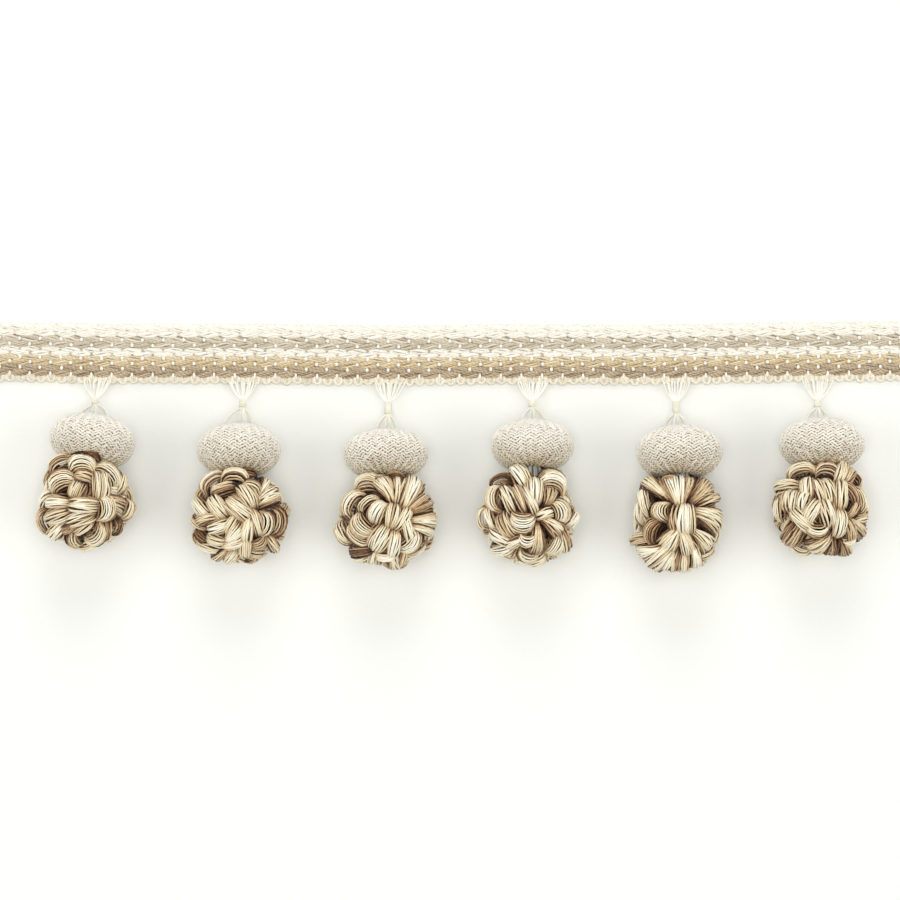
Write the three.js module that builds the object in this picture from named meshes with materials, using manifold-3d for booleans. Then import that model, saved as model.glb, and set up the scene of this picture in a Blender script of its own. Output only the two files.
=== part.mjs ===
// Ruche fringe trim, in millimetres, lying on its back.
// X runs along the heading, +Y points from the drops to the heading and +Z is up from the surface.
// A woven heading carries six drops. Each drop is a fan of threads, a knot, a thread cage,
// a braid-covered bead, a neck of threads through the bead's hole and a ruche pompon of looped petals.
import * as THREE from 'three';
import { mergeVertices } from 'three/addons/utils/BufferGeometryUtils.js';
import Module from 'manifold-3d';

const wasm = await Module();
wasm.setup();

// Clearance between neighbouring pieces
const GAP = 0.35;

// Side of the blocks that cut flat ends, larger than any drop
const BLOCK_SIDE = 200;

// Heading: a woven band of warp rows, ribbed on top and flat below
const HEADING_LENGTH = 320;
const HEADING_TOP = 42.4;
const HEADING_STATIONS = 10;
const RIB_CROWN = 2.5;
const RIB_VALLEY = 1.8;
const RIB_SHOULDER = 0.25;
const HEADING_ROWS = [
  { name: 'cream upper', width: 1.85 },
  { name: 'cream lower', width: 1.85 },
  { name: 'greige upper', width: 2.0 },
  { name: 'greige lower', width: 1.85 },
  { name: 'white upper', width: 1.45 },
  { name: 'white lower', width: 1.45 },
  { name: 'tan upper', width: 1.5 },
  { name: 'tan lower', width: 2.0 },
  { name: 'brown upper', width: 1.7 },
  { name: 'brown lower', width: 2.15 },
];

// The heading doesn't lie quite straight: it sags a little between its ends and wavers
const BOW_RISE = 1.4;
const BOW_LOW_X = -10;
const BOW_HALF_SPAN = 168;
const BOW_LEVEL = -0.45;
const WAVER = 0.15;
const WAVER_LENGTH = 95;

// Picots: the weft loops along both edges
const PICOT_THICKNESS = 1.4;
const PICOT_ROOT = 2.2;
const PICOT_ROOT_STEP = 20;
const PICOT_CROWN_SPAN = 0.5;
const LOWER_PICOT = { pitch: 3.6, reach: 2.5, notch: 1.6 };
const UPPER_PICOT = { pitch: 7.2, reach: 1.55, notch: 0.9 };

// Thread fan: a flat comb of threads that narrows to the knot
const FAN_TEETH = 5;
const FAN_KNOT_WIDTH = 2.2;
const FAN_THICKNESS = 1;
const FAN_NOTCH_DEPTH = 0.5;
const FAN_NOTCH_WIDTH = 0.5;
const FAN_FOOT_HEIGHT = 1.1;
const FAN_SETBACK = 0.7;

// Knot: a small wound tie, longer than wide
const KNOT_RADIUS = 1.4;
const KNOT_SIDES = 8;
const KNOT_RINGS = 5;

// Thread cage: radius along its length, from the knot to the bead
const CAGE_SIDES = 10;
const CAGE_OVERRUN = 3;
const CAGE_PROFILE = [
  { along: 0, radius: 0.9 },
  { along: 0.3, radius: 2.3 },
  { along: 0.7, radius: 3.6 },
  { along: 1, radius: 4.1 },
];

// Bead: a flattened ball with a hole along its axis, its covering included
const BEAD_SIDES = 16;
const BEAD_ARC_STEPS = 6;
const BEAD_SQUARENESS = 2.15;
const BEAD_PITCH = -16;
const BEAD_TOP_LIP = 2.9;
const BEAD_BOTTOM_LIP = 4.6;
const BEAD_FLAT = 0.15;

// The bead's bore, from its upper end to the wider mouth below, along in bead half lengths
const BEAD_BORE = [
  { along: 0.93, radius: 2.3 },
  { along: -0.3, radius: 2.3 },
  { along: -0.9, radius: 4 },
];

// Neck: the thread bundle through the bead's hole, spread where it enters the pompon.
// along counts in bead half lengths from the bead's centre, towards the header when positive.
const NECK_SIDES = 12;
const NECK_REACH = 5;
const NECK_PROFILE = [
  { along: -0.95, radius: 3.4 },
  { along: -0.35, radius: 1.9 },
  { along: 0.8, radius: 1.9 },
];

// Pompon: a ball of petals, which show as lobes on its surface
const POMPON_DETAIL = 5;
const POMPON_HALF_DEPTH = 16.2;
const POMPON_FLAT = 0.45;
const PETAL_COUNT = 34;
const PETAL_HALF_ANGLE = 22;
const PETAL_DEPTH = 3.2;
const CREST_ELEVATION = 38;
const CREST_HALF_ANGLE = 28;

// One row for each drop. Places and sizes are in the trim's own frame, angles in degrees.
// crest says how far the pompon's front petals reach over the bead, as a share of its radius.
const DROP_COLUMNS = [
  'fanX', 'fanWidth', 'knotX', 'knotY', 'knotLength', 'beadX', 'beadY', 'beadWidth', 'beadLength',
  'beadRoll', 'pomponX', 'pomponY', 'pomponWidth', 'pomponHeight', 'crest', 'turn',
];
const DROP_ROWS = [
  [-123.6, 10.5, -124.4, 15.9, 2.6, -124.8, 2.1, 29.4, 17.6, -8, -127.4, -19.2, 32.9, 34.3, 0.22, 10],
  [-72.8, 9.8, -72.7, 15.1, 3.2, -73.7, -1.2, 28.7, 17.9, 0, -73.0, -24.5, 34.6, 33.6, 0.16, 75],
  [-21.1, 9.9, -21.7, 13.5, 5.2, -22.4, -2.6, 29.0, 16.5, 1, -22.0, -26.4, 35.4, 33.2, 0.1, 140],
  [29.2, 10.1, 28.8, 15.1, 3.0, 28.8, 0.4, 28.4, 17.6, 0, 27.7, -24.9, 34.6, 34.4, 0.08, 200],
  [79.4, 9.8, 79.2, 13.7, 5.2, 80.1, -1.9, 29.4, 17.9, 1, 79.4, -27.3, 30.8, 35.2, 0.1, 265],
  [129.1, 9.8, 128.8, 15.1, 3.3, 129.9, 0.9, 29.4, 17.2, -1, 129.3, -22.4, 34.3, 32.2, 0.1, 320],
];

// Colours of the yarns and threads
const MATERIALS = {
  heading: { color: '#d8ccb6', roughness: 0.85 },
  thread: { color: '#f3efdf', roughness: 0.6 },
  knot: { color: '#efe8c6', roughness: 0.6 },
  bead: { color: '#dccfbe', roughness: 0.85 },
  neck: { color: '#c6c4ba', roughness: 0.5 },
  pompon: { color: '#cdb591', roughness: 0.8 },
};

const radians = THREE.MathUtils.degToRad;

// A named mesh with a material of its own
function piece(name, geometry, look) {
  const material = new THREE.MeshStandardMaterial({ ...MATERIALS[look], metalness: 0 });
  const mesh = new THREE.Mesh(geometry, material);
  mesh.name = name;
  return mesh;
}

// A geometry with shared corners and without triangles that have shrunk to a line
function weld(geometry) {
  const bare = geometry.clone();
  bare.deleteAttribute('normal');
  bare.deleteAttribute('uv');
  const welded = mergeVertices(bare);
  const corners = [...welded.index.array];
  const kept = [];
  for (let i = 0; i < corners.length; i += 3) {
    const [a, b, c] = corners.slice(i, i + 3);
    if (a !== b && b !== c && c !== a) kept.push(a, b, c);
  }
  welded.setIndex(kept);
  return welded;
}

function toSolid(geometry) {
  const { attributes, index } = weld(geometry);
  const vertProperties = Float32Array.from(attributes.position.array);
  const triVerts = Uint32Array.from(index.array);
  return new wasm.Manifold(new wasm.Mesh({ numProp: 3, vertProperties, triVerts }));
}

function toGeometry(solid) {
  const { vertProperties, triVerts } = solid.getMesh();
  const geometry = new THREE.BufferGeometry();
  geometry.setAttribute('position', new THREE.BufferAttribute(vertProperties, 3));
  geometry.setIndex(new THREE.BufferAttribute(triVerts, 1));
  geometry.computeVertexNormals();
  return geometry;
}

function block() {
  return new THREE.BoxGeometry(BLOCK_SIDE, BLOCK_SIDE, BLOCK_SIDE);
}

// All that lies below the surface, which leaves a flat spot on whatever reaches into it
function belowSurface() {
  return toSolid(block().translate(0, 0, -BLOCK_SIDE / 2));
}

// All that lies before a plane across Y
function before(y) {
  return block().translate(0, y - BLOCK_SIDE / 2, 0);
}

function lathe(profile, sides) {
  return new THREE.LatheGeometry(profile.map(([r, y]) => new THREE.Vector2(r, y)), sides);
}

// Sideways shift of the heading at x: a parabola with a slow waver
function bow(x) {
  const sag = BOW_RISE * ((x - BOW_LOW_X) / BOW_HALF_SPAN) ** 2;
  return BOW_LEVEL + sag + WAVER * Math.sin((2 * Math.PI * x) / WAVER_LENGTH);
}

function bend(geometry) {
  const { position } = geometry.attributes;
  for (let i = 0; i < position.count; i += 1) {
    position.setY(i, position.getY(i) + bow(position.getX(i)));
  }
  return geometry;
}

const headingBottom = HEADING_ROWS.reduce((y, row) => y - row.width, HEADING_TOP);

// The ribbed band: its section in Y and Z, run along X in steps that follow the bow
function headingBand() {
  const section = [[HEADING_TOP, 0], [HEADING_TOP, RIB_VALLEY]];
  let top = HEADING_TOP;
  for (const { width } of HEADING_ROWS) {
    section.push([top - RIB_SHOULDER * width, RIB_CROWN]);
    section.push([top - (1 - RIB_SHOULDER) * width, RIB_CROWN]);
    section.push([top - width, RIB_VALLEY]);
    top -= width;
  }
  section.push([headingBottom, 0]);
  const shape = new THREE.Shape(section.map(([y, z]) => new THREE.Vector2(y, z)));
  const band = new THREE.ExtrudeGeometry(shape, {
    depth: HEADING_LENGTH, steps: HEADING_STATIONS, bevelEnabled: false,
  });
  // The section's Y and Z lie in the extrusion's X and Y, and its run becomes X
  band.applyMatrix4(new THREE.Matrix4().set(0, 0, 1, 0, 1, 0, 0, 0, 0, 1, 0, 0, 0, 0, 0, 1));
  return bend(band.translate(-HEADING_LENGTH / 2, 0, 0));
}

// A strip of scallops along one edge: side is 1 at the top edge and -1 at the bottom edge
function picotStrip(edgeY, side, { pitch: nominal, reach, notch }) {
  const half = HEADING_LENGTH / 2;
  const count = Math.floor(HEADING_LENGTH / nominal);
  const pitch = HEADING_LENGTH / count;
  const outline = [];
  for (let x = -half; x <= half; x += PICOT_ROOT_STEP) outline.push([x, edgeY - side * PICOT_ROOT]);
  for (let i = count - 1; i >= 0; i -= 1) {
    const middle = -half + (i + 0.5) * pitch;
    const crown = (PICOT_CROWN_SPAN * pitch) / 2;
    outline.push([middle + pitch / 2, edgeY + side * notch]);
    outline.push([middle + crown, edgeY + side * reach]);
    outline.push([middle - crown, edgeY + side * reach]);
  }
  outline.push([-half, edgeY + side * notch]);
  const shape = new THREE.Shape(outline.map(([x, y]) => new THREE.Vector2(x, y)));
  const options = { depth: PICOT_THICKNESS, steps: 1, bevelEnabled: false };
  return bend(new THREE.ExtrudeGeometry(shape, options));
}

function heading() {
  const lower = toSolid(picotStrip(headingBottom, -1, LOWER_PICOT));
  const upper = toSolid(picotStrip(HEADING_TOP, 1, UPPER_PICOT));
  return toGeometry(toSolid(headingBand()).add(lower).add(upper));
}

// Fan outline: x across, y from the knot to the heading, with a notch between two threads
function fanGeometry(width, length) {
  const outline = [[-FAN_KNOT_WIDTH / 2, 0], [FAN_KNOT_WIDTH / 2, 0]];
  const tooth = width / FAN_TEETH;
  for (let i = FAN_TEETH - 1; i >= 0; i -= 1) {
    const left = -width / 2 + i * tooth;
    const notch = (FAN_NOTCH_WIDTH * tooth) / 2;
    outline.push([left + tooth - notch, length], [left + notch, length]);
    const depth = length * (1 - FAN_NOTCH_DEPTH);
    if (i > 0) outline.push([left * (depth / length), depth]);
  }
  const shape = new THREE.Shape(outline.map(([x, y]) => new THREE.Vector2(x, y)));
  const plate = new THREE.ExtrudeGeometry(shape, { depth: FAN_THICKNESS, steps: 1, bevelEnabled: false });
  return plate.translate(0, 0, -FAN_THICKNESS / 2);
}

// Turns a piece whose length runs along Y so that it points from one place to another
function aim(geometry, from, to) {
  const direction = new THREE.Vector3().subVectors(to, from).normalize();
  const pitch = Math.asin(direction.z);
  const yaw = Math.atan2(-direction.x, direction.y);
  const turn = new THREE.Matrix4().makeRotationFromEuler(new THREE.Euler(pitch, 0, yaw, 'ZYX'));
  return geometry.applyMatrix4(turn).translate(from.x, from.y, from.z);
}

// Outer arc of the bead from one lip to the other, upwards, as [radius, y] points
function beadArc(radius, halfLength) {
  const angleAt = (lip) => Math.acos((lip / radius) ** (BEAD_SQUARENESS / 2));
  const low = -angleAt(BEAD_BOTTOM_LIP);
  const high = angleAt(BEAD_TOP_LIP);
  return Array.from({ length: BEAD_ARC_STEPS + 1 }, (_, i) => {
    const angle = low + ((high - low) * i) / BEAD_ARC_STEPS;
    const r = radius * Math.cos(angle) ** (2 / BEAD_SQUARENESS);
    const y = halfLength * Math.sign(angle) * Math.abs(Math.sin(angle)) ** (2 / BEAD_SQUARENESS);
    return [r, y];
  });
}

function beadGeometry(radius, halfLength) {
  const profile = beadArc(radius, halfLength);
  for (const { along, radius: wall } of BEAD_BORE) profile.push([wall, along * halfLength]);
  profile.push(profile[0]);
  return lathe(profile, BEAD_SIDES);
}

// The bead's filled outline with clearance, to cut its neighbours by
function beadEnvelope(radius, halfLength) {
  const wider = 1 + GAP / radius;
  const longer = 1 + GAP / halfLength;
  const grown = beadArc(radius, halfLength).map(([r, y]) => [r * wider, y * longer]);
  return lathe([[0, grown[0][1]], ...grown, [0, grown[grown.length - 1][1]]], BEAD_SIDES);
}

function neckGeometry(halfLength, clearance) {
  const wall = NECK_PROFILE.map(({ along, radius }) => [radius + clearance, along * halfLength]);
  const end = -halfLength - NECK_REACH - clearance;
  const top = wall[wall.length - 1][1];
  return lathe([[0, end], [wall[0][0], end], ...wall, [0, top]], NECK_SIDES);
}

function cageGeometry(length) {
  const wall = CAGE_PROFILE.map(({ along, radius }) => [radius, -along * length]).reverse();
  const end = -length - CAGE_OVERRUN;
  return lathe([[0, end], [wall[0][0], end], ...wall, [0, 0]], CAGE_SIDES);
}

// Petal directions: a golden-angle spiral over the ball, with one petal straight down
function petalDirections(turn) {
  const golden = Math.PI * (3 - Math.sqrt(5));
  const directions = Array.from({ length: PETAL_COUNT }, (_, i) => {
    const z = 1 - (2 * i + 1) / PETAL_COUNT;
    const ring = Math.sqrt(1 - z * z);
    const angle = i * golden + radians(turn);
    return new THREE.Vector3(ring * Math.cos(angle), ring * Math.sin(angle), z);
  });
  return [...directions, new THREE.Vector3(0, 0, -1)];
}

// A ball in the pompon's proportions that swells at each petal and, towards the bead, at its crest
function pomponGeometry({ pomponWidth, pomponHeight, crest, turn }) {
  const half = new THREE.Vector3(pomponWidth / 2, pomponHeight / 2, POMPON_HALF_DEPTH);
  const petals = petalDirections(turn);
  const crestAngle = radians(CREST_ELEVATION);
  const crestDirection = new THREE.Vector3(0, Math.cos(crestAngle), Math.sin(crestAngle));
  const ball = new THREE.IcosahedronGeometry(1, POMPON_DETAIL);
  const { position } = ball.attributes;
  const direction = new THREE.Vector3();
  for (let i = 0; i < position.count; i += 1) {
    direction.fromBufferAttribute(position, i).normalize();
    const nearest = Math.min(...petals.map((petal) => petal.angleTo(direction)));
    const lobe = Math.max(0, 1 - (nearest / radians(PETAL_HALF_ANGLE)) ** 2);
    const reach = 1 / direction.clone().divide(half).length();
    const offCrest = direction.angleTo(crestDirection) / radians(CREST_HALF_ANGLE);
    const swell = 1 + crest * Math.exp(-(offCrest ** 2));
    const radius = reach * swell - PETAL_DEPTH * (1 - lobe);
    position.setXYZ(i, direction.x * radius, direction.y * radius, direction.z * radius);
  }
  return ball;
}

// One drop in a frame of its own, with the bead's centre above the origin
function drop(number, row) {
  const group = new THREE.Group();
  group.position.set(row.beadX, row.beadY, 0);
  const beadRadius = row.beadWidth / 2;
  const beadHalf = row.beadLength / 2;
  const lie = new THREE.Matrix4().makeRotationFromEuler(
    new THREE.Euler(radians(BEAD_PITCH), 0, radians(row.beadRoll), 'ZYX'),
  );
  lie.setPosition(0, 0, beadRadius - BEAD_FLAT);
  const laid = (geometry) => geometry.applyMatrix4(lie);

  // The hanger's line runs from the bead's upper pole to the heading's edge
  const pole = new THREE.Vector3(0, beadHalf, 0).applyMatrix4(lie);
  const edgeY = headingBottom - LOWER_PICOT.reach + bow(row.fanX) - row.beadY - FAN_SETBACK;
  const foot = new THREE.Vector3(row.fanX - row.beadX, edgeY, FAN_FOOT_HEIGHT);
  const share = (row.knotY - row.beadY - pole.y) / (foot.y - pole.y);
  const knotX = row.knotX - row.beadX;
  const knot = new THREE.Vector3(knotX, row.knotY - row.beadY, pole.z + share * (foot.z - pole.z));
  const fromKnot = (target) => {
    const direction = new THREE.Vector3().subVectors(target, knot).normalize();
    return direction.multiplyScalar(row.knotLength / 2 + GAP).add(knot);
  };
  const fanStart = fromKnot(foot);
  const cageStart = fromKnot(pole);

  const fan = aim(fanGeometry(row.fanWidth, fanStart.distanceTo(foot)), fanStart, foot);
  const knotBall = new THREE.SphereGeometry(1, KNOT_SIDES, KNOT_RINGS);
  knotBall.scale(KNOT_RADIUS, row.knotLength / 2, KNOT_RADIUS);
  const outward = new THREE.Vector3().subVectors(cageStart, pole).add(cageStart);
  const cage = aim(cageGeometry(cageStart.distanceTo(pole)), cageStart, outward);

  const envelope = toSolid(laid(beadEnvelope(beadRadius, beadHalf)));
  const belowPole = toSolid(laid(before(beadHalf + GAP)));
  const bead = toSolid(laid(beadGeometry(beadRadius, beadHalf)));
  const neck = laid(neckGeometry(beadHalf, 0));
  const neckRoom = toSolid(laid(neckGeometry(beadHalf, GAP)));
  const pompon = pomponGeometry(row);
  pompon.translate(
    row.pomponX - row.beadX, row.pomponY - row.beadY, POMPON_HALF_DEPTH - POMPON_FLAT,
  );
  const ball = toSolid(pompon).subtract(belowSurface()).subtract(envelope).subtract(neckRoom);

  const named = (part) => `drop_${number}_${part}`;
  group.add(
    piece(named('fan'), fan, 'thread'),
    piece(named('knot'), aim(knotBall, knot, foot), 'knot'),
    piece(named('cage'), toGeometry(toSolid(cage).subtract(belowPole)), 'thread'),
    piece(named('bead'), toGeometry(bead.subtract(belowSurface())), 'bead'),
    piece(named('neck'), neck, 'neck'),
    piece(named('pompon'), toGeometry(ball), 'pompon'),
  );
  return group;
}

const trim = new THREE.Group();
trim.add(piece('heading', heading(), 'heading'));
DROP_ROWS.forEach((values, i) => {
  const row = Object.fromEntries(DROP_COLUMNS.map((column, k) => [column, values[k]]));
  trim.add(drop(i + 1, row));
});

export default trim;
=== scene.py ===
# %% [markdown]
# A ruche fringe trim: a flat woven heading, and six drops that hang from it by fine threads. Each drop is
# a knot, a bead in a braided cover and a ruche pompon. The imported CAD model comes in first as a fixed
# frame, in metres. It gives every piece its place, and nothing in it moves.

import bpy
import numpy as np
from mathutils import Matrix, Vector


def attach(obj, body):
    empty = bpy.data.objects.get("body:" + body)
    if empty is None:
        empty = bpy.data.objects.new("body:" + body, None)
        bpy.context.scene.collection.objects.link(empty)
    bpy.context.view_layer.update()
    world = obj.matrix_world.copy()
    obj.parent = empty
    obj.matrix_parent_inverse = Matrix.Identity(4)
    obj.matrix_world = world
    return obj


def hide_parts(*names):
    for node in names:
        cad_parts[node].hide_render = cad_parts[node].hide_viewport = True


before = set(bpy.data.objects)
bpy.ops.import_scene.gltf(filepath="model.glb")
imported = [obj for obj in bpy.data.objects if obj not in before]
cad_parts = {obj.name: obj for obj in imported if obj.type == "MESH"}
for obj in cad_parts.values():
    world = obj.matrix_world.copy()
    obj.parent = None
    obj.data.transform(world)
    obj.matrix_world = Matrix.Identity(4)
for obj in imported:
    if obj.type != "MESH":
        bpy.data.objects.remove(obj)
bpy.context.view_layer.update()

MM = 0.001

# %% [markdown]
# The photograph looks straight down on the trim. One picture step is 0.35 mm, because the drops are
# 145.4 steps apart and such trims have them two inches apart. A long lens far above keeps the beads from
# leaning outwards at the sides, as in the photograph.

# %% Camera
STEP = 0.35 * MM
FRAME_STEPS = 900
AIM = Vector((0.0, -1.05 * MM, 10 * MM))
LENS, SENSOR = 200.0, 36.0
scene = bpy.context.scene
eye = bpy.data.cameras.new("camera")
eye.lens, eye.sensor_width = LENS, SENSOR
eye.clip_start, eye.clip_end = 0.05, 20.0
camera = bpy.data.objects.new("camera", eye)
camera.location = AIM + Vector((0, 0, FRAME_STEPS * STEP / 2 / (SENSOR / 2 / LENS)))
scene.collection.objects.link(camera)
scene.camera = camera
print("camera height in m", round(camera.location.z, 3))

# %% [markdown]
# Colours are written as sRGB hex values, as a paint card gives them, and Blender wants linear light, so
# one function turns one into the other. Another adds a node with its settings and links, so that each
# material reads as a short list.

# %% Colour and node helpers


def linear(hexa, alpha=1.0):
    """sRGB hex to linear: c / 12.92 below 0.04045, else ((c + 0.055) / 1.055) to the power 2.4."""
    c = np.array([int(hexa[i:i + 2], 16) for i in (1, 3, 5)]) / 255
    c = np.where(c <= 0.04045, c / 12.92, ((c + 0.055) / 1.055) ** 2.4)
    return (*c.tolist(), alpha)


def node(tree, kind, settings=(), stops=(), **links):
    """Adds a node. settings holds (property or socket, value) pairs, stops a ramp's (position, hex)
    pairs, and links what feeds its sockets: another's socket, or a node for its first output."""
    made = tree.nodes.new("ShaderNode" + kind)
    for count, (position, hexa) in enumerate(stops):
        band = made.color_ramp.elements
        element = band[count] if count < 2 else band.new(position)
        element.position, element.color = position, linear(hexa)
    for key, value in settings:
        if isinstance(key, str) and hasattr(made, key):
            setattr(made, key, value)
        else:
            made.inputs[key].default_value = value
    for key, source in links.items():
        name = int(key[1:]) if key[0] == "_" else key.replace("_", " ")
        tree.links.new(getattr(source, "outputs", [source])[0], made.inputs[name])
    return made


def material(name):
    """An empty material with a Principled shader and its output, as (material, tree, shader)."""
    made = bpy.data.materials.new(name)
    made.use_nodes = True
    tree = made.node_tree
    return made, tree, tree.nodes["Principled BSDF"]


print("a dyed cream in linear light", [round(c, 3) for c in linear("#F3E4BD")])


# %% [markdown]
# The trim lies on a near-white table between two wide, soft side panels. The drops stand in each other's
# way for their light, so soft grey shade gathers between them, as in the photograph. A panel beyond the
# heading makes the beads' upper halves lighter than their lower ones and shades the table just below the
# heading, and a white surround fills what is left.

# %% Table and lights
FLOOR_HALF = 1.5  # m
LIGHTS = [  # name, place, width and depth in m, watts
    ("panel_above", (0.0, 0.0, 1.6), 0.8, 8.3),
    ("panel_left", (-1.2, -0.2, 0.95), 1.5, 11.5),
    ("panel_right", (1.2, -0.2, 0.95), 1.5, 11.5),
    ("panel_heading_side", (0.0, 1.2, 0.75), 0.9, 7.5),
]
SURROUND = 0.20  # strength of the white all round

floor_mesh = bpy.data.meshes.new("floor")
corners = [(-FLOOR_HALF, -FLOOR_HALF, 0), (FLOOR_HALF, -FLOOR_HALF, 0),
           (FLOOR_HALF, FLOOR_HALF, 0), (-FLOOR_HALF, FLOOR_HALF, 0)]
floor_mesh.from_pydata(corners, [], [(0, 1, 2, 3)])
floor = bpy.data.objects.new("floor", floor_mesh)
scene.collection.objects.link(floor)
# Matt painted board: pale, no shine, a grain too fine to see
board, tree, shader = material("matt_painted_board")
grain = node(tree, "TexNoise", [("Scale", 900.0)], Vector=node(tree, "TexCoord").outputs["Object"])
paint = node(tree, "ValToRGB", stops=[(0.0, "#F5F6F0"), (1.0, "#F9FAF5")], Fac=grain)
tree.links.new(paint.outputs["Color"], shader.inputs["Base Color"])
shader.inputs["Roughness"].default_value = 0.9
shader.inputs["Specular IOR Level"].default_value = 0.1
floor_mesh.materials.append(board)

for name, place, width, watts in LIGHTS:
    data = bpy.data.lights.new(name, "AREA")
    data.shape, data.size, data.energy = "SQUARE", width, watts
    lamp = bpy.data.objects.new(name, data)
    lamp.location = place
    lamp.rotation_euler = (AIM - Vector(place)).to_track_quat("-Z", "Y").to_euler()
    scene.collection.objects.link(lamp)
world = bpy.data.worlds.new("white_surround")
world.use_nodes = True
world.node_tree.nodes["Background"].inputs["Color"].default_value = linear("#FFFFFF")
world.node_tree.nodes["Background"].inputs["Strength"].default_value = SURROUND
scene.world = world
scene.view_settings.view_transform = "Standard"
print("lights", [name for name, *_ in LIGHTS])

# %% [markdown]
# Everything here is yarn or thread, so one helper makes a whole bundle of them at once: each strand is an
# ellipse carried along its own line, closed at both ends. The arrays hold all strands together, so there
# is no loop over points. Each strand keeps how far along it a point is and how far round, as its UV map
# in mm and turns, so that a ply twist follows it, and a tone between 0 and 1 that picks its colour.

# %% Strand bundles
UP = (0, 0, 1.0)


def unit(v):
    """Vectors divided by their length, along the last axis."""
    return v / np.maximum(np.linalg.norm(v, axis=-1, keepdims=True), 1e-12)


def strands(lines, wide, thick, tone, out=UP, sides=5, first=0.25):
    """Tubes along lines (strands, stations, 3), in mm. At each station: centre + wide cos(t) across
    + thick sin(t) out, where across is the tangent crossed with out and the first t is first turns.
    Returns the arrays of one bundle."""
    lines = np.asarray(lines, float)
    count, stations, _ = lines.shape
    along = unit(np.gradient(lines, axis=1))
    out = np.broadcast_to(np.asarray(out, float), lines.shape)
    out = unit(out - along * (out * along).sum(-1, keepdims=True))
    across = np.cross(along, out)
    turn = (np.arange(sides) / sides + first) * 2 * np.pi
    wide = np.broadcast_to(np.asarray(wide, float), (count, stations))[..., None, None]
    thick = np.broadcast_to(np.asarray(thick, float), (count, stations))[..., None, None]
    ring = (lines[:, :, None] + wide * np.cos(turn)[:, None] * across[:, :, None]
            + thick * np.sin(turn)[:, None] * out[:, :, None])
    index = np.arange(count * stations * sides).reshape(count, stations, sides)
    following = np.roll(index, -1, axis=2)
    quads = np.stack([index[:, :-1], index[:, 1:], following[:, 1:], following[:, :-1]], -1)
    caps = np.concatenate([index[:, 0], index[:, -1, ::-1]])
    length = np.linalg.norm(np.diff(lines, axis=1), axis=-1)
    far = np.concatenate([np.zeros((count, 1)), np.cumsum(length, 1)], 1)
    start = np.broadcast_to(far[:, :-1, None], (count, stations - 1, sides))
    end = np.broadcast_to(far[:, 1:, None], (count, stations - 1, sides))
    low = np.broadcast_to(np.arange(sides) / sides, start.shape)
    high = low + 1 / sides
    quad_uv = np.stack([np.stack([start, low], -1), np.stack([end, low], -1),
                        np.stack([end, high], -1), np.stack([start, high], -1)], -2)
    cap_uv = np.zeros((len(caps), sides, 2))
    tone = np.asarray(tone, float)
    tone = np.broadcast_to(tone.reshape(tone.shape + (1,) * (2 - tone.ndim)), (count, stations))
    shade = np.repeat(tone[..., None], sides, -1)
    return {"co": ring.reshape(-1, 3), "quads": quads.reshape(-1, 4), "caps": caps,
            "quad_uv": quad_uv.reshape(-1, 2), "cap_uv": cap_uv.reshape(-1, 2), "tone": shade.ravel()}


def piece(name, bundles, skin, nodes=(), smooth=True):
    """Joins bundles in mm into one mesh object in metres, with its UV map and tone, on body root."""
    co, tone = (np.concatenate([b[k] for b in bundles]) for k in ("co", "tone"))
    base = np.cumsum([0] + [len(b["co"]) for b in bundles])
    faces, uvs = [], []
    for bundle, first in zip(bundles, base):
        faces += [bundle["quads"] + first, bundle["caps"] + first]
        uvs += [bundle["quad_uv"], bundle["cap_uv"]]
    faces = [f for f in faces if len(f)]
    uv = np.concatenate(uvs)
    sizes = np.concatenate([np.full(len(f), f.shape[1]) for f in faces])
    corners = np.concatenate([f.ravel() for f in faces])
    mesh = bpy.data.meshes.new(name)
    mesh.vertices.add(len(co))
    mesh.vertices.foreach_set("co", (co * MM).astype(np.float32).ravel())
    mesh.loops.add(len(corners))
    mesh.loops.foreach_set("vertex_index", corners.astype(np.int32))
    mesh.polygons.add(len(sizes))
    mesh.polygons.foreach_set("loop_start", (np.cumsum(sizes) - sizes).astype(np.int32))
    mesh.update(calc_edges=True)
    mesh.uv_layers.new(name="strand").data.foreach_set("uv", uv.astype(np.float32).ravel())
    attribute = mesh.attributes.new("tone", "FLOAT", "POINT")
    attribute.data.foreach_set("value", tone.astype(np.float32))
    mesh.polygons.foreach_set("use_smooth", np.full(len(sizes), smooth))
    mesh.materials.append(skin)
    mesh.validate()
    made = bpy.data.objects.new(name, mesh)
    scene.collection.objects.link(made)
    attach(made, "root")
    if nodes:
        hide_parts(*nodes)
    print(f"{name}: {int((sizes - 2).sum())} triangles")
    return made


def drop_piece(make, skin, slot, number, *facts):
    """A drop's piece, named after the function that makes it, in place of the solid of that name."""
    kind = make.__name__
    return piece(f"{kind}_{number}", make(number, *facts), skin, [f"drop_{number}_{kind}"])


# %% [markdown]
# The same table places the CAD solids, so every piece made here sits where its solid is. Beads are
# flattened balls, wider than they are long. Each lies on its rounded side with its lower end tipped up a
# little, so some of the thread bundle that comes out of its hole can show.

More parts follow.
